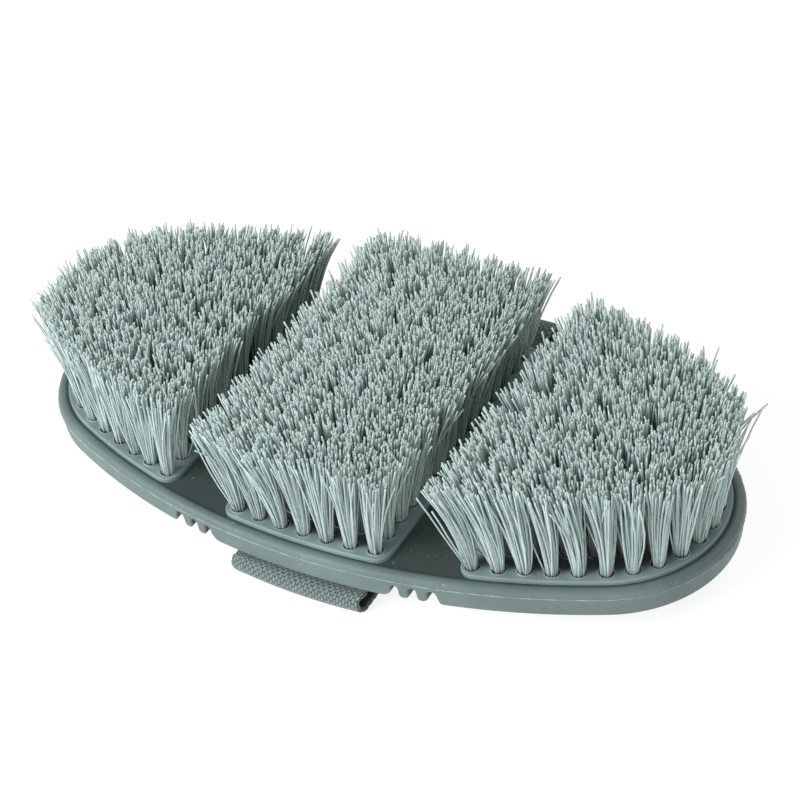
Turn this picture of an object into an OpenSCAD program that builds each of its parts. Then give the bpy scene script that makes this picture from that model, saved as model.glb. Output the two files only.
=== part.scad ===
// Flexible grooming brush: a rubber back in three segments, joined by thin ribbed webs that let
// the two wings bend, three bristle fields set in hard plates, and a webbing hand strap that
// crosses the back. It lies on its strap with the bristles up: X runs along the brush, Z is up.

/* [Rubber back] */
// Length of the rubber back
body_l = 196; // [190:1:210]
// Width of the rubber back
body_w = 98; // [96:1:104]
// Radius of the rounded ends of the outline
end_r = 35; // [32:1:36]
// Thickness of the rubber back
back_t = 8; // [7.5:0.1:8.5]
// Height of the mould's parting line above the underside
parting_h = 5.9; // [5.5:0.1:6.2]

/* [Flexing zones] */
// Half length of the middle segment, to the first bending line
bend_x = 27; // [26.5:0.1:27.5]
// Spacing of the three bending lines of a zone
bend_pitch = 4.7; // [4.6:0.1:4.8]
// Height of the notch roofs above the underside
notch_h = 4.6; // [4.4:0.1:4.8]
// Radius of the rounded ribs' lower edge
rib_r = 1.4; // [1.2:0.1:1.5]

/* [Tuft plates] */
// Half length of the middle plate
mid_plate_x = 24; // [23.5:0.1:24.5]
// Inner edge of the wing plates
wing_plate_x = 41; // [40.8:0.1:41.5]
// Margin between the outline of the back and the plates
plate_inset = 3.2; // [3:0.1:3.6]
// Thickness of the plates
plate_t = 5.4; // [5.2:0.1:5.6]
// How far the plates stand proud of the rubber
plate_proud = 1; // [0.8:0.1:1.2]

/* [Bristles] */
// Spacing of the tufts
tuft_pitch = 6.6; // [6.5:0.05:6.8]
// Diameter of the tuft holes
hole_d = 4; // [3.8:0.1:4]
// Depth of the tuft holes
hole_depth = 4.2; // [4:0.1:4.2]
// Free length of the bristles above the plates
bristle_l = 26; // [20:1:34]
// Diameter of a tuft at its tips
tuft_tip_d = 6.2; // [5:0.1:6.2]
// Columns of tufts in the middle field
mid_columns = 7; // [7:1:7]
// Tufts in each column of the middle field
mid_rows = 14; // [12:1:14]
// Inner column of the wing fields
wing_tuft_x = 44.3; // [44.2:0.1:44.6]
// Margin between the outline of the back and the outer tufts
tuft_inset = 6.4; // [6.2:0.1:6.6]

/* [Hand strap] */
// Width of the webbing
strap_w = 38; // [35:1:40]
// Thickness of the webbing
strap_t = 1.8; // [1.6:0.1:1.8]
// Gap between the webbing and the back where the hand goes
hand_gap = 5.4; // [5:0.1:7]
// Distance of the strap's slots from the middle of the back
slot_y = 45; // [44.8:0.1:45]

/* [Hidden] */
$fn = 96;

// Heights above the surface that the strap lies on.
back_z = strap_t + hand_gap;
plate_top_z = back_z + back_t + plate_proud;
plate_z = plate_top_z - plate_t;
bend_z = back_z + (notch_h + back_t) / 2;
tip_z = plate_top_z + bristle_l;

// The outline is an oval of four arcs: two long sides and two round ends.
end_x = body_l / 2 - end_r;
side_r = (pow(end_x, 2) + pow(body_w / 2, 2) - pow(end_r, 2)) / (body_w - 2 * end_r);
side_c = side_r - body_w / 2;
join_a = atan2(end_x, side_c);

// Living hinges: a round tongue turns in a round socket at each bending line.
web_r = (back_t - notch_h) / 2;
tongue_r = web_r - 0.05;
socket_r = web_r + 0.03;
socket_gap = 0.9;
rib_root = 1.95;
rib_h = rib_r + 0.2;
bends = [for (i = [0:2]) bend_x + i * bend_pitch];

// Small clearances and the metal parts that the plates hide.
fit = 0.05;
pocket_gap = 0.1;
anchor = [0.5, 4.3, 1.6];
anchor_lift = 0.8;
tab_l = 15;
staple_wire = 0.6;
staple_w = 8;
staple_bite = 0.9;
staple_xs = [-13, 0, 13];
staple_y = 37.5;

// Turns of the strap's path, as radii of its middle line.
strap_turn = 1.9;
front_straight = 0.8;
rear_straight = 6;
rise_r = 8;
rise_a = 50;
fold_r = 1;
band_y = 44;
run_z = strap_t / 2;
under_z = back_z - strap_turn;

// Width of the oval on one side at x, moved in by inset.
function side_y(x, inset) = sqrt(pow(side_r - inset, 2) - pow(x, 2)) - side_c;

// A row of wing tufts runs along a side arc and then round the end arc, to the brush's tip.
function side_start(inset) = asin(wing_tuft_x / (side_r - inset));
function side_end(inset) = inset < end_r ? join_a : acos(side_c / (side_r - inset));
function side_run(inset) = (side_end(inset) - side_start(inset)) * PI / 180 * (side_r - inset);
function end_run(inset) = inset < end_r ? (90 - join_a) * PI / 180 * (end_r - inset) : 0;
function half_run(inset) = side_run(inset) + end_run(inset);
function on_side(inset, s) =
    let (a = side_start(inset) + s / (side_r - inset) * 180 / PI)
    [(side_r - inset) * sin(a), -((side_r - inset) * cos(a) - side_c)];
function on_end(inset, s) =
    let (a = join_a + s / (end_r - inset) * 180 / PI)
    [end_x + (end_r - inset) * sin(a), -(end_r - inset) * cos(a)];
function on_row(inset, s) =
    s > half_run(inset) ? let (p = on_row(inset, 2 * half_run(inset) - s)) [p.x, -p.y]
    : s <= side_run(inset) + 0.001 ? on_side(inset, s)
    : on_end(inset, s - side_run(inset));

// Least gap between the tips of two tufts in a row.
tuft_gap = 0.15;

// The rows nest inside each other, round a short straight row on the brush's middle line.
row_count = floor((side_y(wing_tuft_x, tuft_inset) - tuft_tip_d) / tuft_pitch) + 1;
last_row = tuft_inset + (row_count - 1) * tuft_pitch;
wing_tufts = concat(
    [
        for (k = [0:row_count - 1])
            let (d = tuft_inset + k * tuft_pitch, n = 2 * floor(half_run(d) / (tuft_tip_d + tuft_gap)))
            for (i = [0:n]) on_row(d, i * 2 * half_run(d) / n)
    ],
    [
        for (i = [0:mid_rows])
            let (x = wing_tuft_x + i * tuft_pitch)
            if (side_y(x, last_row) >= tuft_tip_d) [x, 0]
    ]
);
mid_tufts = [
    for (i = [0:mid_columns - 1])
        let (x = (i - (mid_columns - 1) / 2) * tuft_pitch, y = side_y(x, tuft_inset))
        for (j = [0:mid_rows - 1]) [x, y * (2 * j / (mid_rows - 1) - 1)]
];

// Edge of the back: distance from the outline, and height above the underside.
edge = [
    [-1.5, 0], [-0.8, 0.4], [-0.2, 3], [0, parting_h - 0.2], [0, parting_h + 0.2],
    [-0.35, 7.1], [-1.1, back_t - 0.2], [-2.2, back_t]
];

module oval(inset = 0) {
    reach = body_w;
    for (s = [-1, 1]) {
        intersection() {
            translate([0, -s * side_c]) circle(side_r - inset, $fn = 360);
            polygon([
                [-end_x, 0], [end_x, 0],
                [end_x + reach * tan(join_a), s * reach], [-end_x - reach * tan(join_a), s * reach]
            ]);
        }
        translate([s * end_x, 0]) circle(end_r - inset);
    }
}

// The back's outer shape, with its drafted and rounded edge.
module back_shape() {
    reach = body_w;
    for (s = [-1, 1]) {
        intersection() {
            translate([0, -s * side_c, back_z]) edge_disc(side_r);
            linear_extrude(plate_top_z)
                polygon([
                    [-end_x, 0], [end_x, 0],
                    [end_x + reach * tan(join_a), s * reach], [-(end_x + reach * tan(join_a)), s * reach]
                ]);
        }
        intersection() {
            translate([s * end_x, 0, back_z]) edge_disc(end_r);
            linear_extrude(plate_top_z)
                polygon([
                    [s * end_x, 0], [s * (end_x + reach * tan(join_a)), reach],
                    [s * (end_x + 4 * reach), 0], [s * (end_x + reach * tan(join_a)), -reach]
                ]);
        }
    }
}

module edge_disc(r) {
    rotate_extrude($fn = 180)
        polygon(concat([[0, 0]], [for (p = edge) [r + p.x, p.y]], [[0, back_t]]));
}

// Runs a flat X-Z drawing right across the brush.
module across() {
    rotate([90, 0, 0]) linear_extrude(2 * body_w, center = true) children();
}

module slab(x0, x1, z0, z1) {
    translate([x0, z0]) square([x1 - x0, z1 - z0]);
}

module tongue(x) {
    translate([x, bend_z]) circle(tongue_r);
}

module socket(x) {
    translate([x, bend_z]) circle(socket_r);
}

// Outline of a plate: the oval moved in, from x0 to x1, with rounded corners.
module plate_outline(x0, x1, grow = 0) {
    corner = 4;
    offset(r = corner + grow, $fn = 48) offset(delta = -corner)
        intersection() {
            oval(plate_inset);
            translate([x0, -body_w]) square([x1 - x0, 2 * body_w]);
        }
}

module pocket(x0, x1) {
    translate([0, 0, plate_z]) linear_extrude(plate_t) plate_outline(x0, x1, pocket_gap);
}

module tuft_plate(x0, x1, tufts) {
    difference() {
        translate([0, 0, plate_z]) linear_extrude(plate_t) plate_outline(x0, x1);
        for (p = tufts)
            translate([p.x, p.y, plate_top_z - hole_depth]) cylinder(h = hole_depth + 1, d = hole_d);
    }
}

// One tuft, folded round its anchor at the bottom of its hole and spreading above the plate.
module tuft() {
    foot_r = hole_d / 2 - fit;
    difference() {
        union() {
            translate([0, 0, -hole_depth]) cylinder(h = hole_depth, r = foot_r, $fn = 24);
            cylinder(h = bristle_l, r1 = foot_r, r2 = tuft_tip_d / 2, $fn = 24);
        }
        tuft_anchor(fit, 1);
    }
}

module tuft_anchor(grow = 0, longer = 0) {
    translate([
        -anchor.x / 2 - grow, -anchor.y / 2 - longer, anchor_lift - hole_depth - grow
    ])
        cube([anchor.x + 2 * grow, anchor.y + 2 * longer, anchor.z + 2 * grow]);
}

module tufts(places) {
    color("lightslategray") for (p = places) translate([p.x, p.y, plate_top_z]) tuft();
}

module tuft_anchors(places) {
    color("silver") for (p = places) translate([p.x, p.y, plate_top_z]) tuft_anchor();
}

// The middle segment, with pockets for the plate and the strap's tabs and a socket at each end.
module rubber_back_middle() {
    end_round = 2.5;
    last_x = bend_x - socket_gap;
    color("slategray") difference() {
        intersection() {
            back_shape();
            across() {
                slab(-last_x, last_x, back_z + end_round, back_z + back_t);
                slab(-last_x + end_round, last_x - end_round, back_z, back_z + end_round);
                for (s = [-1, 1]) translate([s * (last_x - end_round), back_z + end_round]) circle(end_round);
            }
        }
        across() for (s = [-1, 1]) socket(s * bend_x);
        pocket(-mid_plate_x, mid_plate_x);
        for (s = [-1, 1]) mirror([0, s < 0 ? 0 : 1, 0]) strap_seat();
    }
}

// Cut for one end of the strap: a slot up through the rubber, a seat under the plate, staple crowns.
module strap_seat() {
    seat_w = strap_w + 0.4;
    slot_t = strap_t + 0.4;
    translate([-seat_w / 2, -slot_y - slot_t / 2, back_z - 1]) cube([seat_w, slot_t, plate_z - back_z + 2]);
    translate([-seat_w / 2, -slot_y - slot_t / 2, plate_z - strap_t])
        cube([seat_w, tab_l + slot_t, strap_t + 1]);
    staples(fit);
}

module tuft_plate_middle() {
    color("lightslategray") difference() {
        tuft_plate(-mid_plate_x, mid_plate_x, mid_tufts);
        for (s = [0, 1]) mirror([0, s, 0]) staples(fit);
    }
}

// An inner or outer rib: a piece of web with a tongue and a socket, and a rounded tooth below.
module rib(i) {
    x = bends[i];
    next_x = bends[i + 1];
    mid_x = (x + next_x) / 2;
    color("slategray") intersection() {
        back_shape();
        across() difference() {
            union() {
                slab(x, next_x - socket_gap, back_z + notch_h, back_z + back_t);
                tongue(x);
                translate([mid_x, back_z + rib_h]) circle(rib_r);
                polygon([
                    [mid_x - rib_r, back_z + rib_h], [mid_x + rib_r, back_z + rib_h],
                    [mid_x + rib_root, back_z + notch_h + fit], [mid_x - rib_root, back_z + notch_h + fit]
                ]);
            }
            socket(next_x);
        }
    }
}

// A wing: the end of the back from the last bending line out, with a chamfered lower edge.
module rubber_back_wing() {
    x = bends[2];
    far_x = body_l / 2 + 1;
    color("slategray") difference() {
        intersection() {
            back_shape();
            across() {
                tongue(x);
                polygon([
                    [x, back_z + notch_h], [x + 1.2, back_z + notch_h], [x + 2.6, back_z + 0.8], [x + 3.4, back_z],
                    [far_x, back_z], [far_x, back_z + back_t], [x, back_z + back_t]
                ]);
            }
        }
        pocket(wing_plate_x, body_l / 2);
    }
}

module tuft_plate_wing() {
    color("lightslategray") tuft_plate(wing_plate_x, body_l / 2, wing_tufts);
}

// Three wire staples that hold a tab of the strap to the plate.
module staples(grow = 0) {
    crown_z = plate_z - strap_t - staple_wire;
    wire = staple_wire + 2 * grow;
    for (x = staple_xs) translate([x, -staple_y, crown_z - grow]) {
        translate([-staple_w / 2 - grow, -wire / 2, 0]) cube([staple_w + 2 * grow, wire, wire]);
        for (s = [-1, 1]) translate([s * (staple_w - staple_wire) / 2 - wire / 2, -wire / 2, 0])
            cube([wire, wire, staple_wire + strap_t + staple_bite + 2 * grow]);
    }
}

module staple_set() {
    color("silver") staples();
}

// Runs a flat Y-Z drawing over the strap's width.
module strap_run() {
    rotate([90, 0, 90]) linear_extrude(strap_w, center = true) children();
}

// Part of a ring of webbing round [y, z], from angle a0 to a1, which may run on by a small lap.
module bend_band(y, z, r, a0, end_a, lap = 0) {
    a1 = end_a + lap;
    reach = 4 * r + 4 * strap_t;
    mid_a = (a0 + a1) / 2;
    translate([y, z]) intersection() {
        difference() {
            circle(r + strap_t / 2);
            circle(r - strap_t / 2);
        }
        polygon([
            [0, 0], reach * [cos(a0), sin(a0)], reach * [cos((a0 + mid_a) / 2), sin((a0 + mid_a) / 2)],
            reach * [cos(mid_a), sin(mid_a)],
            reach * [cos((a1 + mid_a) / 2), sin((a1 + mid_a) / 2)], reach * [cos(a1), sin(a1)]
        ]);
    }
}

module straight_band(y0, y1, z) {
    slab(y0, y1, z - strap_t / 2, z + strap_t / 2);
}

// End of the webbing: up through the slot and folded inwards under the plate.
module strap_tab() {
    fold_z = plate_z - strap_t / 2 - fold_r;
    color("slategray") difference() {
        strap_run() {
            translate([-slot_y - strap_t / 2, back_z]) square([strap_t, fold_z - back_z]);
            bend_band(-slot_y + fold_r, fold_z, fold_r, 90, 180);
            straight_band(-slot_y + fold_r, -slot_y + tab_l, plate_z - strap_t / 2);
        }
        staples(fit);
    }
}

// Front of the loop: out from under the edge, round, and back beneath the brush.
module strap_loop_front() {
    turn_y = -slot_y - strap_turn - front_straight;
    turn_r = (under_z - run_z) / 2;
    color("slategray") strap_run() {
        bend_band(-slot_y - strap_turn, back_z, strap_turn, -90, 0);
        straight_band(turn_y, turn_y + front_straight, under_z);
        bend_band(turn_y, run_z + turn_r, turn_r, 90, 270);
        straight_band(turn_y, -band_y, run_z);
    }
}

module strap_palm_band() {
    color("slategray") strap_run() straight_band(-band_y, band_y, run_z);
}

// Rear of the loop, which holds the strap's slack: out, up, round in a wide bulb, and back.
module strap_loop_rear() {
    rise_y = slot_y + strap_turn + rear_straight;
    top_z = under_z + rise_r * (1 - cos(rise_a));
    bulb_r = (top_z - run_z) / (1 + cos(rise_a));
    bulb_y = rise_y + rise_r * sin(rise_a) + bulb_r * sin(rise_a);
    color("slategray") strap_run() {
        bend_band(slot_y + strap_turn, back_z, strap_turn, 180, 270);
        straight_band(rise_y - rear_straight, rise_y, under_z);
        bend_band(rise_y, under_z + rise_r, rise_r, 270, 270 + rise_a, 0.2);
        bend_band(bulb_y, run_z + bulb_r, bulb_r, -90, 90 + rise_a);
        straight_band(band_y, bulb_y, run_z);
    }
}

rubber_back_middle();
tuft_plate_middle();
tufts(mid_tufts);  // tufts_middle
tuft_anchors(mid_tufts);  // tuft_anchors_middle
strap_tab();  // strap_tab_front
mirror([0, 1, 0]) strap_tab();  // strap_tab_rear
staple_set();  // strap_staples_front
mirror([0, 1, 0]) staple_set();  // strap_staples_rear
rib(0);  // rib_right_inner
rib(1);  // rib_right_outer
rubber_back_wing();  // rubber_back_right
tuft_plate_wing();  // tuft_plate_right
tufts(wing_tufts);  // tufts_right
tuft_anchors(wing_tufts);  // tuft_anchors_right
mirror([1, 0, 0]) rib(0);  // rib_left_inner
mirror([1, 0, 0]) rib(1);  // rib_left_outer
mirror([1, 0, 0]) rubber_back_wing();  // rubber_back_left
mirror([1, 0, 0]) tuft_plate_wing();  // tuft_plate_left
mirror([1, 0, 0]) tufts(wing_tufts);  // tufts_left
mirror([1, 0, 0]) tuft_anchors(wing_tufts);  // tuft_anchors_left
strap_loop_front();
strap_palm_band();
strap_loop_rear();
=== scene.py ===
"""Looks of the flexible grooming brush: moulded rubber back, tuft plates, bristles and webbing strap.

Lengths are millimetres in the part's own frame, until a mesh is made of them. The lights' places and
sizes are metres.
"""
import math

import bmesh
import bpy
import numpy as np
from mathutils import Matrix, Vector
from mathutils.geometry import delaunay_2d_cdt


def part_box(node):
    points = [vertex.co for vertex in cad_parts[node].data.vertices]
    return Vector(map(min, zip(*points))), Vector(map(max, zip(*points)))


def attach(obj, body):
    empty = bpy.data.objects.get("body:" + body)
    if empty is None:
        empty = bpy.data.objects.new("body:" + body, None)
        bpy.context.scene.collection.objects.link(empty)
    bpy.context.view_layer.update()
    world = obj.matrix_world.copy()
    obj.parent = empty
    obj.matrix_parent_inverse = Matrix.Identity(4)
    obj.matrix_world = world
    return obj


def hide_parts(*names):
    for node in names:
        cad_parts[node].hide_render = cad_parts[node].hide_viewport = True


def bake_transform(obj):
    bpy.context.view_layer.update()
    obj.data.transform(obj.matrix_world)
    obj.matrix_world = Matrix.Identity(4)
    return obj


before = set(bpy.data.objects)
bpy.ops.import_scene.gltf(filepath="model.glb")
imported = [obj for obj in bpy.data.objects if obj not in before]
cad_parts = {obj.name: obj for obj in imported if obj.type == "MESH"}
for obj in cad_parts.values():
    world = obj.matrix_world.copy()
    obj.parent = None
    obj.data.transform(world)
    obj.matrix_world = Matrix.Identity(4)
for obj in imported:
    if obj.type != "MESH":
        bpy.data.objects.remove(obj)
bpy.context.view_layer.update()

MM = 0.001
UP = np.array([0.0, 0.0, 1.0])
SIDES = (("right", 1), ("left", -1))
rng = np.random.default_rng(21)


def cad_low(node):
    """Lowest corner of a CAD node, in millimetres."""
    return np.array(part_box(node)[0]) / MM


def cad_high(node):
    """Highest corner of a CAD node, in millimetres."""
    return np.array(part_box(node)[1]) / MM


# ---- read from the CAD: heights, and the strap's width and thickness ----
BACK_Z = cad_low("rubber_back_middle")[2]
PLATE_TOP = cad_high("tuft_plate_middle")[2]
TIP_Z = cad_high("tufts_middle")[2]
STRAP_W = 2 * cad_high("strap_palm_band")[0]
STRAP_T = cad_high("strap_palm_band")[2]

# ---- the same values as in the CAD ----
HALF_L = 98.0
HALF_W = 49.0
END_R = 35.0
BENDS = (27.0, 31.7, 36.4)
TUFT_PITCH = 6.6
TUFT_TIP_D = 6.2
TUFT_GAP = 0.15
TUFT_INSET = 6.4
WING_TUFT_X = 44.3
MID_COLUMNS = 7
MID_ROWS = 14
HOLE_R = 2.0

# ---- the webbing's weave: a column's width, a float's length, and how far floats slant ----
COLUMN_W = 0.84
FLOAT_L = 1.3
CHEVRON = 0.24

# The outline is an oval of four arcs, as in the CAD.
END_X = HALF_L - END_R
SIDE_R = (END_X**2 + HALF_W**2 - END_R**2) / (2 * HALF_W - 2 * END_R)
SIDE_C = SIDE_R - HALF_W
JOIN_A = math.atan2(END_X, SIDE_C)


def side_y(x, inset):
    """Half width of the oval at x, moved in by inset."""
    return np.sqrt((SIDE_R - inset) ** 2 - np.square(x)) - SIDE_C


def inset_of(x, y):
    """How far in from the outline a point lies."""
    x, y = np.abs(x), np.abs(y)
    beside = SIDE_R - np.hypot(x, y + SIDE_C)
    round_end = END_R - np.hypot(x - END_X, y)
    return np.where(np.arctan2(x, y + SIDE_C) < JOIN_A, beside, round_end)


def field_depth(x, y, middle):
    """How far a point lies inside a field's outermost tufts."""
    half = (MID_COLUMNS - 1) / 2 * TUFT_PITCH
    across_field = half - np.abs(x) if middle else np.abs(x) - WING_TUFT_X
    return np.minimum(inset_of(x, y) - TUFT_INSET, across_field)


# ---------------------------------------------------------------- mesh helpers


def make_mesh(name, points, faces, materials, face_material=None, smooth=True):
    """A new object from points in millimetres."""
    mesh = bpy.data.meshes.new(name)
    mesh.from_pydata((np.asarray(points, float) * MM).tolist(), [], faces)
    for material in materials:
        mesh.materials.append(material)
    if face_material is not None:
        mesh.polygons.foreach_set("material_index", np.asarray(face_material, np.int32))
    mesh.polygons.foreach_set("use_smooth", np.full(len(mesh.polygons), smooth))
    mesh.update()
    piece = bpy.data.objects.new(name, mesh)
    bpy.context.scene.collection.objects.link(piece)
    return piece


def set_values(piece, label, values):
    """Stores one number for each point of a piece, which a material can read."""
    made = piece.data.attributes.new(label, "FLOAT", "POINT")
    made.data.foreach_set("value", np.asarray(values, np.float32))


def sharpen(piece, face_numbers):
    """Keeps the shading of a piece's end faces apart from its sides."""
    mesh = piece.data
    lookup = {edge.key: edge.index for edge in mesh.edges}
    for number in face_numbers:
        for key in mesh.polygons[number].edge_keys:
            mesh.edges[lookup[key]].use_edge_sharp = True


def loft(rings, closed_rings=True):
    """Quads between equal rings of points, numbered ring by ring."""
    count = len(rings[0])
    faces = []
    last = count if closed_rings else count - 1
    for r in range(len(rings) - 1):
        for i in range(last):
            j = (i + 1) % count
            faces.append((r * count + i, r * count + j, (r + 1) * count + j, (r + 1) * count + i))
    return faces


def arc(cx, cy, radius, start, end, steps):
    """Points on an arc, with angles in degrees."""
    angles = np.radians(np.linspace(start, end, steps + 1))
    return [(cx + radius * math.cos(a), cy + radius * math.sin(a)) for a in angles]


# ---------------------------------------------------------------- materials


def new_material(name):
    material = bpy.data.materials.new(name)
    material.use_nodes = True
    tree = material.node_tree
    return material, tree, tree.nodes["Principled BSDF"]


def node(tree, kind, **settings):
    made = tree.nodes.new(kind)
    for key, value in settings.items():
        if key in made.inputs:
            made.inputs[key].default_value = value
        else:
            setattr(made, key, value)
    return made


def link(tree, source, target):
    tree.links.new(source, target)


def place_texture(tree, texture):
    """Fixes a texture to the piece, so that it moves with it."""
    link(tree, node(tree, "ShaderNodeTexCoord").outputs["Object"], texture.inputs["Vector"])


def noise(tree, scale, detail=4.0, roughness=0.55):
    made = node(tree, "ShaderNodeTexNoise")
    made.inputs["Scale"].default_value = scale
    made.inputs["Detail"].default_value = detail
    made.inputs["Roughness"].default_value = roughness
    place_texture(tree, made)
    return made.outputs["Fac"]


def stored(tree, label):
    """A number that set_values() stored on the mesh."""
    return node(tree, "ShaderNodeAttribute", attribute_name=label).outputs["Fac"]


def ramp(tree, source, stops):
    made = node(tree, "ShaderNodeValToRGB")
    elements = made.color_ramp.elements
    while len(elements) < len(stops):
        elements.new(0.5)
    for element, (place, colour) in zip(elements, stops):
        element.position = place
        element.color = (*colour, 1.0) if len(colour) == 3 else colour
    link(tree, source, made.inputs["Fac"])
    return made.outputs["Color"]


def mix_colour(tree, factor, first, second, mode="MIX"):
    made = node(tree, "ShaderNodeMix", data_type="RGBA", blend_type=mode)
    for socket, value in ((made.inputs[0], factor), (made.inputs[6], first), (made.inputs[7], second)):
        if isinstance(value, bpy.types.NodeSocket):
            link(tree, value, socket)
        elif isinstance(value, tuple):
            socket.default_value = (*value, 1.0)
        else:
            socket.default_value = value
    return made.outputs[2]


def bump(tree, shader, height, strength, distance):
    made = node(tree, "ShaderNodeBump")
    made.inputs["Strength"].default_value = strength
    made.inputs["Distance"].default_value = distance
    link(tree, height, made.inputs["Height"])
    link(tree, made.outputs["Normal"], shader.inputs["Normal"])
    return made


def from_middle(tree, value):
    """0 in the middle of each whole step of a value, and 1 where two steps meet."""
    doubled = math_node(tree, "MULTIPLY_ADD", math_node(tree, "FRACT", value, 0.0), 2.0, -1.0)
    return math_node(tree, "ABSOLUTE", doubled, 0.0)


def math_node(tree, operation, *values):
    made = node(tree, "ShaderNodeMath", operation=operation)
    for socket, value in zip(made.inputs, values):
        if isinstance(value, bpy.types.NodeSocket):
            link(tree, value, socket)
        else:
            socket.default_value = value
    return made.outputs[0]


def grey(level):
    return (level, level, level)


# How strongly painted shade darkens the rubber and the plates, and the darkest it gets.
SHADE_STRENGTH = 0.6
DARKEST = 0.92


def rubber_material(name, base, dusty):
    """Satin moulded rubber with faint mottling, scuffs and dust, and painted shade where "shade" is 1."""
    material, tree, shader = new_material(name)
    mottle = noise(tree, 60.0, 5.0, 0.6)
    dark = tuple(0.88 * c for c in base)
    light = tuple(1.1 * c for c in base)
    colour = ramp(tree, mottle, [(0.35, dark), (0.68, light)])
    specks = node(tree, "ShaderNodeTexVoronoi", feature="F1")
    specks.inputs["Scale"].default_value = 620.0
    place_texture(tree, specks)
    dot = ramp(tree, specks.outputs["Distance"], [(0.0, grey(1.0)), (0.24, grey(0.0))])
    patch = ramp(tree, noise(tree, 190.0, 2.0), [(0.57 - 0.09 * dusty, grey(0.0)), (0.66, grey(1.0))])
    dust = math_node(tree, "MULTIPLY", dot, patch)
    scuff = node(tree, "ShaderNodeTexNoise")
    scuff.inputs["Scale"].default_value = 300.0
    scuff.inputs["Detail"].default_value = 2.0
    scuff.inputs["Distortion"].default_value = 2.5
    place_texture(tree, scuff)
    line = [(0.493, grey(0.0)), (0.5, grey(0.55)), (0.507, grey(0.0))]
    scratch = ramp(tree, scuff.outputs["Fac"], line)
    rare = ramp(tree, noise(tree, 75.0, 1.0), [(0.56, grey(0.0)), (0.68, grey(0.75))])
    marks = math_node(tree, "MAXIMUM", dust, math_node(tree, "MULTIPLY", scratch, rare))
    # painted shade: the colour goes towards black by the stored "shade", at most DARKEST
    deepen = math_node(tree, "MULTIPLY", stored(tree, "shade"), SHADE_STRENGTH)
    deepen = math_node(tree, "MINIMUM", deepen, DARKEST)
    colour = mix_colour(tree, deepen, colour, (0.0, 0.0, 0.0))
    pale = tuple(min(1.0, 2.0 * c) for c in base)
    link(tree, mix_colour(tree, marks, colour, pale), shader.inputs["Base Color"])
    rough = ramp(tree, noise(tree, 130.0, 3.0), [(0.3, grey(0.46)), (0.7, grey(0.6))])
    link(tree, rough, shader.inputs["Roughness"])
    shader.inputs["Specular IOR Level"].default_value = 0.42
    fine = noise(tree, 2400.0, 3.0, 0.6)
    broad = noise(tree, 95.0, 2.0, 0.5)
    height = math_node(tree, "ADD", fine, math_node(tree, "MULTIPLY", broad, 2.5))
    bump(tree, shader, height, 0.16, 0.0002)
    return material


def flash_material():
    """Thin flash and burrs, in a paler colour than the rubber that paints the highlight their thin edges
    catch.
    """
    material, tree, shader = new_material("rubber_flash")
    tone = noise(tree, 420.0, 3.0)
    colour = ramp(tree, tone, [(0.36, (0.18, 0.24, 0.232)), (0.62, (0.38, 0.47, 0.46))])
    link(tree, colour, shader.inputs["Base Color"])
    shader.inputs["Roughness"].default_value = 0.5
    bump(tree, shader, noise(tree, 1500.0), 0.3, 0.0002)
    return material


def bristle_material():
    """Extruded filament: each one has its own tone, the cut end is paler, and the lower part of inner tufts
    gets painted shade.
    """
    material, tree, shader = new_material("bristle_filament")
    along = stored(tree, "along")
    body = ramp(
        tree, stored(tree, "tone"),
        [(0.0, (0.37, 0.475, 0.456)), (0.5, (0.46, 0.575, 0.554)), (1.0, (0.56, 0.675, 0.653))],
    )
    ends = ramp(tree, along, [(0.0, grey(0.0)), (0.955, grey(0.0)), (0.99, grey(0.4))])
    streak = noise(tree, 900.0, 2.0)
    streaks = ramp(tree, streak, [(0.3, grey(0.25)), (0.7, grey(0.6))])
    body = mix_colour(tree, 0.35, body, streaks, "OVERLAY")
    # painted shade on the lower part of filaments in inner tufts
    low = ramp(tree, along, [(0.1, grey(0.85)), (0.68, grey(0.0))])
    darken = math_node(tree, "MULTIPLY", stored(tree, "painted_root_shade"), low)
    body = mix_colour(tree, darken, body, (0.05, 0.068, 0.065))
    link(tree, mix_colour(tree, ends, body, (0.66, 0.76, 0.74)), shader.inputs["Base Color"])
    shader.inputs["Roughness"].default_value = 0.42
    shader.inputs["Specular IOR Level"].default_value = 0.5
    shader.inputs["Sheen Weight"].default_value = 0.15
    bump(tree, shader, streak, 0.15, 0.0001)
    return material


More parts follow.
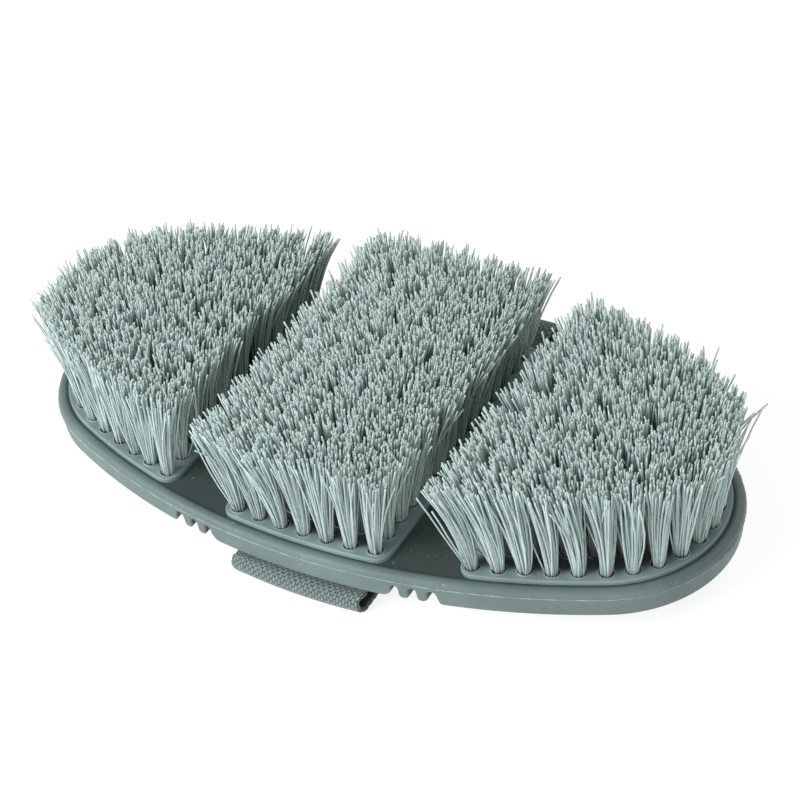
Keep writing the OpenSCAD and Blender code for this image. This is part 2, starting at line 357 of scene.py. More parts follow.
def webbing_material(name, yarn, hollow_shade):
    """Coarse webbing: columns of yarns with painted shade in the hollows where their floats end and a
    painted highlight on the floats, painted shade on the inner face, and fine fibres.
    """
    material, tree, shader = new_material(name)
    column = math_node(tree, "DIVIDE", stored(tree, "across"), COLUMN_W)
    number = math_node(tree, "FLOOR", column, 0.0)
    edge = from_middle(tree, column)
    turn = math_node(tree, "MULTIPLY", math_node(tree, "MODULO", number, 2.0), 0.5)
    wobble = math_node(tree, "MULTIPLY", noise(tree, 260.0, 2.0), 0.22)
    phase = math_node(tree, "ADD", math_node(tree, "MULTIPLY_ADD", edge, CHEVRON, turn), wobble)
    place = math_node(tree, "ADD", math_node(tree, "DIVIDE", stored(tree, "run"), FLOAT_L), phase)
    end = from_middle(tree, place)
    low_side = math_node(tree, "MULTIPLY_ADD", math_node(tree, "POWER", edge, 2.2), -0.5, 1.0)
    low_end = math_node(tree, "MULTIPLY_ADD", math_node(tree, "POWER", end, 4.0), -0.8, 1.0)
    height = math_node(tree, "MULTIPLY", low_side, low_end)
    # painted shade from the hollows up the floats' sides, and a painted highlight on their tops
    dim, float_highlight = (tuple(share * c for c in yarn) for share in (0.35, 1.5))
    tone = ramp(tree, height, [(0.3, hollow_shade), (0.46, dim), (0.68, yarn), (1.0, float_highlight)])
    mottle = ramp(tree, noise(tree, 800.0, 3.0), [(0.3, grey(0.36)), (0.7, grey(0.62))])
    woven = mix_colour(tree, 0.6, tone, mottle, "OVERLAY")
    # painted shade on the strap's inner face, where "inside" is 1
    inner = tuple(0.1 * c for c in yarn)
    link(tree, mix_colour(tree, stored(tree, "inside"), woven, inner), shader.inputs["Base Color"])
    shader.inputs["Roughness"].default_value = 0.8
    shader.inputs["Sheen Weight"].default_value = 0.2
    fibres = node(tree, "ShaderNodeTexWave", wave_type="BANDS", bands_direction="X")
    fibres.inputs["Scale"].default_value = 1500.0
    fibres.inputs["Distortion"].default_value = 5.0
    fibres.inputs["Detail"].default_value = 2.0
    place_texture(tree, fibres)
    relief = math_node(tree, "ADD", height, math_node(tree, "MULTIPLY", fibres.outputs["Fac"], 0.25))
    bump(tree, shader, relief, 0.6, 0.0002)
    return material


def wire_material():
    """Drawn steel wire with fine lines along it."""
    material, tree, shader = new_material("drawn_wire")
    tone = noise(tree, 900.0, 2.0)
    link(tree, ramp(tree, tone, [(0.3, grey(0.42)), (0.7, grey(0.62))]), shader.inputs["Base Color"])
    shader.inputs["Metallic"].default_value = 1.0
    shader.inputs["Roughness"].default_value = 0.34
    bump(tree, shader, tone, 0.2, 0.0001)
    return material


RUBBER_TONE = (0.125, 0.178, 0.172)
RUBBER = rubber_material("moulded_rubber", RUBBER_TONE, 1.0)
PLATE = rubber_material("plate_moulding", tuple(1.6 * c for c in RUBBER_TONE), 0.3)
FLASH = flash_material()
BRISTLE = bristle_material()
# the second colour is the painted shade in the weave's hollows
WEBBING = webbing_material("strap_webbing", (0.125, 0.17, 0.165), (0.004, 0.006, 0.006))
WIRE = wire_material()


# ---------------------------------------------------------------- rubber back

# Top of the wall, as distance in from the outline and height above the underside: parting line,
# rounded shoulder, low crest, and the floor that the plates and the valleys lie on.
FLOOR_H = 7.65
PARTING_H = 5.9
WALL_TOP = [
    (0.02, PARTING_H - 0.34), (-0.01, PARTING_H - 0.12), (-0.11, PARTING_H), (-0.01, PARTING_H + 0.1),
    (0.04, PARTING_H + 0.34), (0.14, 6.75), (0.32, 7.15), (0.62, 7.5), (1.0, 7.76), (1.5, 7.94), (2.0, 8.0),
    (2.4, 7.97), (2.75, 7.88), (3.05, 7.78), (3.4, 7.7), (3.9, FLOOR_H), (4.8, FLOOR_H),
]
FLASH_ROW = 2

# The wall below it: its rows as shares of the height, its taper and the rounding of its lower edge.
LOW_WALL_SHARES = (0.0, 0.02, 0.055, 0.11, 0.18, 0.28, 0.42, 0.62, 0.82)
TAPER = 0.65
ROUND_R = 0.5

# Points across the top and the underside, as shares of the way between the walls.
ACROSS_SHARES = (0.0015, 0.008, 0.025, 0.08, 0.25, 0.5, 0.75, 0.92, 0.975, 0.992, 0.9985)

# Within this distance of a wing's tip, the flash of the front and rear walls comes together.
FLASH_MEET = 6.0

# Height of the notches' roofs, and the size of the teeth between the notches.
ROOF_H = 4.35
TOOTH_R = 1.32
TOOTH_Z = 0.2
TOOTH_HALF = 1.35

# Painted shade on the rubber: darker inside the rim between two insets, and up inside a notch to a height.
SHADE_FROM = 1.9
SHADE_TO = 2.75
NOTCH_DARK_H = 0.9
NOTCH_SHADE = 1.5


# The flexing zone's underside at its two ends: a rounded start, the outer edges of the outermost
# notches, how much of a notch's height its round roof takes, and a slope down to the wing.
FLEX_START = [(20.0, 0.0), (22.0, 0.0)]
START_X = 23.4
START_R = 2.7
NOTCH_START = 26.2
NOTCH_END = 37.7
ROOF_RISE = 1.15
FLEX_END = [(37.95, 2.1), (38.15, 1.1), (38.4, 0.45), (38.8, 0.12), (39.4, 0.0), (43.0, 0.0)]
ROUND_STEPS = 12
TOOTH_STEPS = 16


def flex_profile():
    """Underside of the right flexing zone: x and height, from the middle segment to the wing."""
    tooth_x = [(BENDS[i] + BENDS[i + 1]) / 2 for i in range(2)]
    points = FLEX_START + arc(START_X, START_R, START_R, -90, -14, ROUND_STEPS)
    edges = [NOTCH_START]
    for x in tooth_x:
        edges += [x - TOOTH_HALF, x + TOOTH_HALF]
    edges.append(NOTCH_END)
    for k in range(3):
        x0, x1 = edges[2 * k], edges[2 * k + 1]
        half = (x1 - x0) / 2
        for c, s in arc(0, 0, 1.0, 180, 0, ROUND_STEPS):
            points.append((x0 + half + half * c, ROOF_H - ROOF_RISE + ROOF_RISE * s))
        if k < 2:
            points += arc(tooth_x[k], TOOTH_Z + TOOTH_R, TOOTH_R, 184, 356, TOOTH_STEPS)
    return points + FLEX_END


FLEX = np.array(flex_profile())
SEAMS = (22.0, (BENDS[0] + BENDS[1]) / 2, (BENDS[1] + BENDS[2]) / 2, 41.0)


def clearance(x, z):
    """Distance of a point on the wall from the edge of the underside's profile."""
    a, b = FLEX[:-1], FLEX[1:]
    run = b - a
    share = np.clip(((x - a[:, 0]) * run[:, 0] + (z - a[:, 1]) * run[:, 1]) / (run**2).sum(1), 0, 1)
    gap = np.hypot(a[:, 0] + share * run[:, 0] - x, a[:, 1] + share * run[:, 1] - z)
    return float(gap.min())


def wall_profile(floor_h, x=None):
    """One wall from the underside, at floor_h, to the top: rows of (inset, height)."""
    rows = []
    top = WALL_TOP[0][1]
    for share in LOW_WALL_SHARES:
        z = floor_h + (top - floor_h) * share
        near = z - floor_h if x is None else clearance(x, z)
        near = min(near, ROUND_R)
        rounding = ROUND_R - math.sqrt(ROUND_R**2 - (ROUND_R - near) ** 2)
        rows.append((rounding + TAPER * (1 - z / PARTING_H), z))
    return rows + WALL_TOP


# How far from the seam a wing's sections take to turn square to the outline.
TURN_L = 12


def straight_place(x):
    """A section across the brush at x."""
    return lambda inset: (x, -float(side_y(x, inset)))


def side_place(x):
    """A section of a wing's side: square across the brush at the seam, then square to the outline."""
    share = min(max((x - SEAMS[3]) / TURN_L, 0.0), 1.0)
    turn = share * share * (3 - 2 * share)

    def place(inset):
        at = x - turn * inset * x / SIDE_R
        return at, -float(side_y(at, inset))

    return place


def end_place(angle):
    """A section of the round end, at an angle from straight across."""
    return lambda inset: (END_X + (END_R - inset) * math.sin(angle), -(END_R - inset) * math.cos(angle))


FLASH_REACH = 0.03
RAGGED_REACH = 0.8
RAGGED_FROM = 0.6


def flash_reach(along, row_side):
    """How far the parting line's flash stands out: a faint line with a few ragged bits."""
    ripple = 0.025 * math.sin(along * 1.9 + row_side) + 0.02 * math.sin(along * 4.7 + 2 * row_side)
    patch = max(0.0, math.sin(along * 0.17 + 1.3 * row_side) - RAGGED_FROM)
    return FLASH_REACH + ripple + RAGGED_REACH * patch * abs(math.sin(along * 2.3))


def section(place, floor_h, along, x=None):
    """One closed ring of points round the back's section: front wall, top, rear wall, underside."""
    rows = wall_profile(floor_h, x)
    flash = len(rows) - len(WALL_TOP) + FLASH_ROW
    front, rear = [], []
    far = min(1.0, abs(place(0.0)[1]) / FLASH_MEET)
    for i, (inset, z) in enumerate(rows):
        for side, out in ((1, front), (-1, rear)):
            reach = flash_reach(along, side * far) if i == flash else 0.0
            at, y = place(inset - reach)
            out.append((at, side * y, z + BACK_Z + 0.5 * reach))
    top = across(front[-1], rear[-1])
    under = across(rear[0], front[0])
    return front + top + rear[::-1] + under


def ring_shade(floor_h):
    """Painted shade of each point of a section: darker inside the rim, and up inside a notch."""
    insets = [0.0] * len(LOW_WALL_SHARES) + [inset for inset, _ in WALL_TOP]
    wall = [min(max((inset - SHADE_FROM) / (SHADE_TO - SHADE_FROM), 0.0), 1.0) for inset in insets]
    notch = NOTCH_SHADE * min(floor_h / NOTCH_DARK_H, 1.0)
    return wall + [1.0] * len(ACROSS_SHARES) + wall[::-1] + [notch] * len(ACROSS_SHARES)


def across(start, end):
    """Points strictly between two points, closer together near both."""
    start, end = np.array(start), np.array(end)
    return [tuple(start + (end - start) * share) for share in ACROSS_SHARES]


def rubber_piece(name, stations, mirror, tip=False):
    """Lofts one length of the back. A station is (place, underside height, distance along, flex x).

    Where the length ends in a tip, its front and rear walls meet there and are joined.
    """
    rings, shades = [], []
    for place, floor_h, along, x in stations:
        shades += ring_shade(floor_h)
        ring = np.array(section(place, floor_h, along * mirror, x))
        ring[:, 0] *= mirror
        rings.append(ring)
    faces = loft(rings)
    count = len(rings[0])
    wall_count = len(LOW_WALL_SHARES) + len(WALL_TOP)
    edge = len(LOW_WALL_SHARES) + FLASH_ROW
    rear_edge = wall_count + len(ACROSS_SHARES) + (wall_count - 1 - edge)
    # the flash rows, whose paler colour is a painted highlight
    pale = {edge - 1, edge, rear_edge - 1, rear_edge}
    index = [1 if (f % count) in pale else 0 for f in range(len(faces))]
    walls = len(faces)
    faces.append(tuple(range(count - 1, -1, -1)))
    if not tip:
        faces.append(tuple((len(rings) - 1) * count + i for i in range(count)))
    index += [0] * (len(faces) - walls)
    if mirror > 0:
        faces = [f[::-1] for f in faces]
    piece = make_mesh(name, np.concatenate(rings), faces, [RUBBER, FLASH], index)
    # painted shade inside the rim and up inside the notches
    set_values(piece, "shade", shades)
    sharpen(piece, range(walls, len(faces)))
    if tip:
        weld(piece)
    return piece


STATION_STEP = 0.16
STATION_LEAST = 0.035
WING_STEPS = 60
TIP_CROWDING = 1.1


def flex_stations(x0, x1):
    """Closely spaced stations from x0 to x1, which follow the underside's notches."""
    even = np.linspace(x0, x1, int((x1 - x0) / STATION_STEP) + 1)
    own = [x for x in FLEX[:, 0] if x0 + 0.03 < x < x1 - 0.03]
    xs = np.unique(np.round(np.concatenate([even, own]), 3))
    keep = [xs[0]]
    for x in xs[1:-1]:
        if x - keep[-1] > STATION_LEAST and x1 - x > STATION_LEAST:
            keep.append(x)
    keep.append(xs[-1])
    heights = np.interp(keep, FLEX[:, 0], FLEX[:, 1])
    return [(straight_place(x), float(height), x, x) for x, height in zip(keep, heights)]


def wing_stations():
    """Stations along a wing's side and round its end, a little closer together towards the tip."""
    side_end = END_X + END_R * math.sin(JOIN_A)
    made = [(side_place(x), 0.0, x, None) for x in np.linspace(SEAMS[3], side_end, WING_STEPS)]
    last = made[-1][2]
    quarter = math.pi / 2 - JOIN_A
    for i in range(1, WING_STEPS + 1):
        angle = JOIN_A + quarter * (1 - (1 - i / WING_STEPS) ** TIP_CROWDING)
        made.append((end_place(angle), 0.0, last + END_R * (angle - JOIN_A), None))
    return made


def rubber_back():
    """The middle segment, three webs a side across the hinges, and two wings."""
    middle = [(straight_place(x), 0.0, x, None) for x in np.linspace(-SEAMS[0], SEAMS[0], 61)]
    piece = rubber_piece("rubber_middle", middle, 1)
    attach(piece, "middle")
    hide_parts("rubber_back_middle")
    for side, mirror in SIDES:
        for i, label in enumerate(("inner", "middle", "outer")):
            stations = flex_stations(SEAMS[i], SEAMS[i + 1])
            web = rubber_piece(f"rubber_web_{side}_{label}", stations, mirror)
            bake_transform(web)
            if i < 2:
                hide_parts(f"rib_{side}_{('inner', 'outer')[i]}")
        wing = rubber_piece(f"rubber_wing_{side}", wing_stations(), mirror, tip=True)
        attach(wing, f"{side}_wing")
        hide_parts(f"rubber_back_{side}")


# ---------------------------------------------------------------- tuft places


def wing_row(inset):
    """Tuft places of one nested row of a wing, from the front corner round the end to the rear."""
    start = math.asin(WING_TUFT_X / (SIDE_R - inset))
    end = JOIN_A if inset < END_R else math.acos(SIDE_C / (SIDE_R - inset))
    side_run = (end - start) * (SIDE_R - inset)
    end_run = (math.pi / 2 - JOIN_A) * (END_R - inset) if inset < END_R else 0.0
    half = side_run + end_run
    count = 2 * math.floor(half / (TUFT_TIP_D + TUFT_GAP))

    def place(s):
        if s > half:
            x, y = place(2 * half - s)
            return x, -y
        if s <= side_run + 0.001:
            a = start + s / (SIDE_R - inset)
            return (SIDE_R - inset) * math.sin(a), SIDE_C - (SIDE_R - inset) * math.cos(a)
        a = JOIN_A + (s - side_run) / (END_R - inset)
        return END_X + (END_R - inset) * math.sin(a), -(END_R - inset) * math.cos(a)

    return [place(i * 2 * half / count) for i in range(count + 1)]


def wing_tufts():
    """Tuft places of the right wing: nested rows, and one straight row in the middle."""
    rows = math.floor((side_y(WING_TUFT_X, TUFT_INSET) - TUFT_TIP_D) / TUFT_PITCH) + 1
    places = []
    for k in range(rows):
        places += wing_row(TUFT_INSET + k * TUFT_PITCH)
    last = TUFT_INSET + (rows - 1) * TUFT_PITCH
    x = WING_TUFT_X
    while side_y(x, last) >= TUFT_TIP_D:
        places.append((x, 0.0))
        x += TUFT_PITCH
    return np.array(places)


def middle_tufts():
    """Tuft places of the middle field: straight columns that end at the outline."""
    places = []
    for i in range(MID_COLUMNS):
        x = (i - (MID_COLUMNS - 1) / 2) * TUFT_PITCH
        reach = float(side_y(x, TUFT_INSET))
        places += [(x, reach * (2 * j / (MID_ROWS - 1) - 1)) for j in range(MID_ROWS)]
    return np.array(places)


# ---------------------------------------------------------------- tuft plates

PLATE_INSET = 3.2
CORNER_R = 4.0
MIDDLE_PLATE_X = 23.8
WING_PLATE_X = 41.0
PLATE_T = PLATE_TOP - cad_low("tuft_plate_middle")[2]

# The plate's rounded edge: distance in from its outline, and height from its top.
PLATE_EDGE = [
    (0.0, -PLATE_T), (0.0, -1.5), (0.0, -0.5), (0.04, -0.28), (0.15, -0.1), (0.34, -0.01), (0.6, 0.0),
]


def corner(x, inset, radius, side):
    """Rounded corner between the line at x and the front arc. Side is -1 if the plate is left of it."""
    cx = x + side * radius
    cy = -float(side_y(cx, inset + radius))
    outward = math.degrees(math.atan2(cy - SIDE_C, cx))
    to_line = 0.0 if side < 0 else -180.0
    return arc(cx, cy, radius, *((outward, to_line) if side < 0 else (to_line, outward)), 8)


def middle_outline(shrink):
    """Outline of the middle plate, moved in by shrink, as one closed loop."""
    inset, x = PLATE_INSET + shrink, MIDDLE_PLATE_X - shrink
    radius = CORNER_R - shrink
    front_right = corner(x, inset, radius, -1)
    front_left = corner(-x, inset, radius, 1)
    reach = x - radius
    front = [(q, -float(side_y(q, inset))) for q in np.linspace(-reach, reach, 13)[1:-1]]
    half = front_left + front + front_right
    return half + [(q, -y) for q, y in half[::-1]]


def wing_outline(shrink):
    """Outline of the right wing's plate, moved in by shrink, as one closed loop."""
    inset, x = PLATE_INSET + shrink, WING_PLATE_X + shrink
    radius = CORNER_R - shrink
    front_left = corner(x, inset, radius, 1)
    start = math.asin((x + radius) / (SIDE_R - inset - radius))
    side = [
        ((SIDE_R - inset) * math.sin(a), SIDE_C - (SIDE_R - inset) * math.cos(a))
        for a in np.linspace(start, JOIN_A, 18)[1:]
    ]
    end = [
        (END_X + (END_R - inset) * math.sin(a), -(END_R - inset) * math.cos(a))
        for a in np.linspace(JOIN_A, math.pi / 2, 20)[1:]
    ]
    half = front_left + side + end
    return half + [(q, -y) for q, y in half[-2::-1]]


# A hole's mouth: how far out as a share of the burr's width, its height as a share of the burr's,
# and 1 where it is ragged. The pale bands are the strips between its rings that look like flash, with its
# painted highlight.
HOLE_PROFILE = (
    (1.0, 0.0, 0), (0.57, 0.5, 1), (0.23, 1.0, 1), (-0.11, 0.8, 1), (-0.37, -0.8, 0), (-0.51, -14.0, 0),
)
PALE_BANDS = (1, 2)
BURR_W = 0.35
BURR_GAP = 0.04
LEAST_BURR = 0.05
MOST_BURR = 0.2
BURR_DRIFT = 0.12
MOUTH_SIDES = 18
CDT_WITHOUT_HOLES = 2
# Painted shade on a plate between its tufts, rising from the field's outermost tufts inwards.
PLATE_SHADE = 1.2
MOUTH_TURN = np.linspace(0, 2 * math.pi, MOUTH_SIDES, endpoint=False)


def burr_widths(places, edge):
    """Width of the burr round each hole, narrower where the plate's rounded edge is close."""
    apart = np.hypot(*(places[:, None, :] - np.array(edge)[None, :, :]).transpose(2, 0, 1))
    return np.minimum(BURR_W, apart.min(axis=1) - BURR_GAP - HOLE_R)


def mouth_rings(x, y, rim):
    """Rings of one hole's mouth and wall, with a ragged burr of its own."""
    peak = LEAST_BURR + MOST_BURR * rng.random() ** 1.5
    open_to = rng.random() * 2 * math.pi
    drift = (rng.random(2) - 0.5) * BURR_DRIFT
    rings = []
    for share, height, ragged in HOLE_PROFILE:
        radius = HOLE_R + share * rim
        ring = []
        for a in MOUTH_TURN:
            lift = height * peak
            if ragged:
                leaning = 0.5 + 0.5 * math.cos(a - open_to)
                lift *= 0.45 + 0.75 * leaning + 0.25 * rng.random()
            px = x + radius * math.cos(a) + drift[0] * ragged
            py = y + radius * math.sin(a) + drift[1] * ragged
            ring.append((px, py, PLATE_TOP + lift))
        rings.append(ring)
    return rings


def plate_top(inner, places, rims):
    """Flat faces between the plate's edge and the mouths of its holes."""
    points = list(inner)
    loops = [list(range(len(inner)))]
    for (x, y), rim in zip(places, rims):
        loops.append([len(points) + i for i in range(MOUTH_SIDES)])
        radius = HOLE_R + rim
        points += [(x + radius * math.cos(a), y + radius * math.sin(a)) for a in MOUTH_TURN]
    flat = [Vector(p) for p in points]
    verts, _, faces, _, _, _ = delaunay_2d_cdt(flat, [], loops, CDT_WITHOUT_HOLES, 1e-6)
    return [(v.x, v.y, PLATE_TOP) for v in verts], faces


def tuft_plate(name, outline, places, mirror, body, cad_node):
    """A plate with a rounded edge and a hole for each tuft, whose mouth has a thin raised burr."""
    edge_rings = [[(x, y, PLATE_TOP + z) for x, y in outline(shrink)] for shrink, z in PLATE_EDGE]
    count = len(edge_rings[0])
    points = [p for ring in edge_rings for p in ring]
    faces = loft(edge_rings)
    faces.append(tuple(range(count))[::-1])
    kinds = [0] * len(faces)

    inner = [p[:2] for p in edge_rings[-1]]
    rims = burr_widths(places, inner)
    top, top_faces = plate_top(inner, places, rims)
    faces += [tuple(len(points) + i for i in face) for face in top_faces]
    kinds += [0] * len(top_faces)
    points += top

    for (x, y), rim in zip(places, rims):
        rings = mouth_rings(x, y, rim)
        base = len(points)
        points += [p for ring in rings for p in ring]
        strips = loft(rings)
        faces += [tuple(base + i for i in f) for f in strips]
        kinds += [1 if f // MOUTH_SIDES in PALE_BANDS else 0 for f in range(len(strips))]
        faces.append(tuple(base + (len(rings) - 1) * MOUTH_SIDES + i for i in range(MOUTH_SIDES)))
        kinds.append(0)
    points = np.array(points)
    points[:, 0] *= mirror
    if mirror < 0:
        faces = [f[::-1] for f in faces]
    piece = make_mesh(name, points, faces, [PLATE, FLASH], kinds)
    # painted shade between the tufts, inside the field's outermost ones
    depth = field_depth(points[:, 0], points[:, 1], body == "middle")
    set_values(piece, "shade", PLATE_SHADE * np.clip(depth / HOLE_R, 0, 1))
    weld(piece)
    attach(piece, body)
    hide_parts(cad_node)


WELD_GAP = 0.005


def weld(piece):
    """Joins points that lie together, and turns every face outwards."""
    made = bmesh.new()
    made.from_mesh(piece.data)
    bmesh.ops.remove_doubles(made, verts=made.verts, dist=WELD_GAP * MM)
    bmesh.ops.recalc_face_normals(made, faces=made.faces)
    made.to_mesh(piece.data)
    made.free()
    piece.data.update()


# ---------------------------------------------------------------- bristles

FILAMENTS = 56
FILAMENT_R = 0.225
FILAMENT_SIDES = 5
FILAMENT_RINGS = 6
ROOT_R = 1.36
ROOT_DEPTH = 1.6
MIDDLE_RISE = 0.75
WING_RISE = 0.3
MIDDLE_TIPS = (-29.5, 29.5)
WING_TIPS = (34.5, 99.5)
TIP_LIMIT = 0.95

# How far a field's tufts spread, and how its filaments differ: strays, short ones and their bow.
MIDDLE_SPREAD = 3.9
WING_SPREAD = 3.6
WING_MIDDLE_X = 72.0
GOLDEN_ANGLE = 2.39996
STRAY_SHARE = 0.07
STRAY_REACH = 2.8
SHORT_SHARE = 0.1
SHORT_MOST = 2.6
UNEVEN = 0.42
LEAN_DROP = 0.0175
BOW = 0.36
OUTWARD_BOW = 0.35
STRAY_BOW = 2.5


def filament_paths(places, lean, spread, rise, x_range, mirror):
    """Centre lines of every filament of a group of tufts: (filaments, rings, 3)."""
    total = len(places) * FILAMENTS
    order = np.tile(np.arange(FILAMENTS), len(places))
    turn = order * GOLDEN_ANGLE + np.repeat(rng.random(len(places)) * 6.28, FILAMENTS)
    turn += rng.normal(0, 0.3, total)
    radius = np.sqrt(np.clip((order + 0.5 + rng.normal(0, 2.5, total)) / FILAMENTS, 0.0, 1.0))
    root = np.repeat(places, FILAMENTS, axis=0)
    unit = np.stack([np.cos(turn), np.sin(turn)], 1)
    start = root + unit * (radius * ROOT_R)[:, None]

    tuft_lean = lean(places, mirror) + rng.normal(0, 0.5, places.shape)
    tuft_lean = np.repeat(tuft_lean, FILAMENTS, axis=0)
    fan = unit * radius[:, None] * spread + rng.normal(0, 1.0, (total, 2))
    stray = rng.random(total) < STRAY_SHARE
    fan[stray] += rng.normal(0, STRAY_REACH, (int(stray.sum()), 2))
    tip = root + tuft_lean + fan
    tip[:, 0] = np.clip(tip[:, 0], *x_range)
    low = PLATE_TOP - ROOT_DEPTH
    short = np.where(rng.random(total) < SHORT_SHARE, rng.random(total) * SHORT_MOST, 0)
    tip_z = TIP_Z + rise + rng.normal(0, UNEVEN, total) - short
    tip_z -= LEAN_DROP * np.square(tip - start).sum(1)
    tip_z = np.minimum(tip_z, TIP_Z + TIP_LIMIT)

    share = np.linspace(0, 1, FILAMENT_RINGS)
    bow = rng.normal(0, BOW, (total, 2)) + unit * radius[:, None] * OUTWARD_BOW
    bow[stray] *= STRAY_BOW
    ease = 0.3 * share + 0.7 * share**2.1
    flat = start[:, None, :] + (tip - start)[:, None, :] * ease[None, :, None]
    flat += bow[:, None, :] * np.sin(math.pi * share)[None, :, None]
    height = low + (tip_z - low)[:, None] * share[None, :]
    return np.concatenate([flat, height[:, :, None]], axis=2)


def filament_mesh(name, paths, mirror, painted_root_shade):
    """Thin rods along the paths, closed at both ends, with a flat cut tip."""
    total, rings, _ = paths.shape
    along = np.gradient(paths, axis=1)
    along /= np.linalg.norm(along, axis=2, keepdims=True)
    side = np.cross(along, np.array([1.0, 0.0, 0.0]))
    side /= np.linalg.norm(side, axis=2, keepdims=True)
    other = np.cross(along, side)
    angle = 2 * math.pi * np.arange(FILAMENT_SIDES) / FILAMENT_SIDES
    radius = FILAMENT_R * (0.88 + 0.24 * rng.random(total))
    ring = side[:, :, None, :] * np.cos(angle)[None, None, :, None]
    ring = ring + other[:, :, None, :] * np.sin(angle)[None, None, :, None]
    points = paths[:, :, None, :] + ring * radius[:, None, None, None]
    points = points.reshape(-1, 3)
    points[:, 0] *= mirror

    k = np.arange(FILAMENT_SIDES)
    r = np.arange(rings - 1)[:, None]
    quad = np.stack([
        r * FILAMENT_SIDES + k, r * FILAMENT_SIDES + (k + 1) % FILAMENT_SIDES,
        (r + 1) * FILAMENT_SIDES + (k + 1) % FILAMENT_SIDES, (r + 1) * FILAMENT_SIDES + k,
    ], axis=2).reshape(-1, 4)
    size = rings * FILAMENT_SIDES
    quads = (quad[None] + size * np.arange(total)[:, None, None]).reshape(-1, 4)
    roots = k[None, ::-1] + size * np.arange(total)[:, None]
    tips = (rings - 1) * FILAMENT_SIDES + k[None] + size * np.arange(total)[:, None]
    caps = np.concatenate([tips, roots])
    if mirror < 0:
        quads, caps = quads[:, ::-1], caps[:, ::-1]
    mesh = bpy.data.meshes.new(name)
    mesh.vertices.add(len(points))
    mesh.vertices.foreach_set("co", (points * MM).ravel())
    corners = np.concatenate([quads.ravel(), caps.ravel()])
    mesh.loops.add(len(corners))
    mesh.loops.foreach_set("vertex_index", corners)
    cap_starts = len(quads) * 4 + np.arange(len(caps)) * FILAMENT_SIDES
    starts = np.concatenate([np.arange(len(quads)) * 4, cap_starts])
    mesh.polygons.add(len(starts))
    mesh.polygons.foreach_set("loop_start", starts)
    smooth = np.ones(len(starts), bool)
    smooth[len(quads):] = False
    mesh.polygons.foreach_set("use_smooth", smooth)
    mesh.update(calc_edges=True)
    mesh.materials.append(BRISTLE)
    piece = bpy.data.objects.new(name, mesh)
    bpy.context.scene.collection.objects.link(piece)
    set_values(piece, "tone", np.repeat(rng.random(total), size))
    set_values(piece, "painted_root_shade", np.repeat(painted_root_shade, FILAMENTS * size))
    set_values(piece, "along", np.tile(np.repeat(np.linspace(0, 1, rings), FILAMENT_SIDES), total))
    return piece


def middle_lean(places, _):
    """The middle field fans out to both flexing zones, and is combed a little to the left in front."""
    x, y = places.T
    return np.stack([0.225 * x + 0.022 * y, 0.045 * y], 1)


def wing_lean(places, mirror):
    """A wing's field fans out from a line through its middle, combed a little to the left in front."""
    x, y = places.T
    return np.stack([0.165 * (x - WING_MIDDLE_X) + 0.045 * mirror * y, 0.04 * y], 1)


def depth_inside(places, label):
    """1 for a tuft inside its field, whose roots get painted shade as light hardly reaches them, and 0 at
    the field's edge.
    """
    return (field_depth(*places.T, label == "middle") > 0.5 * TUFT_PITCH).astype(float)


def bristles(label, body, places, lean, spread, rise, x_range, mirror):
    """Two pieces for each field, its front and rear tufts. Tips stay within x_range."""
    for half, chosen in (("front", places[:, 1] <= 0), ("rear", places[:, 1] > 0)):
        paths = filament_paths(places[chosen], lean, spread, rise, x_range, mirror)
        painted_root_shade = depth_inside(places[chosen], label)
        piece = filament_mesh(f"bristles_{label}_{half}", paths, mirror, painted_root_shade)
        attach(piece, body)
        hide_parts(f"tufts_{label}")


# ---------------------------------------------------------------- hand strap

SLOT_Y = 45.0
TURN_R = 1.9
FRONT_STRAIGHT = 0.8
REAR_STRAIGHT = 6.0
RISE_R = 8.0
RISE_A = 50.0
FOLD_R = 1.0
TAB_L = 15.0
WEAVE_H = 0.2
EDGE_W = 0.7
BULGE = 1.35
SKEW = 0.55
FRONT_SHIFT = -0.9

# How finely the strap's mesh is divided, how its edges thin and wave, and where its front loop is held.
STRAP_STEP = 0.42
OUTER_POINTS = 137
INNER_POINTS = 59
INNER_WEAVE_SHIFT = 0.3
EDGE_THINNING = 0.97
EDGE_WAVE = 0.12
HELD_FROM = 0.4
HELD_OVER = 2.5


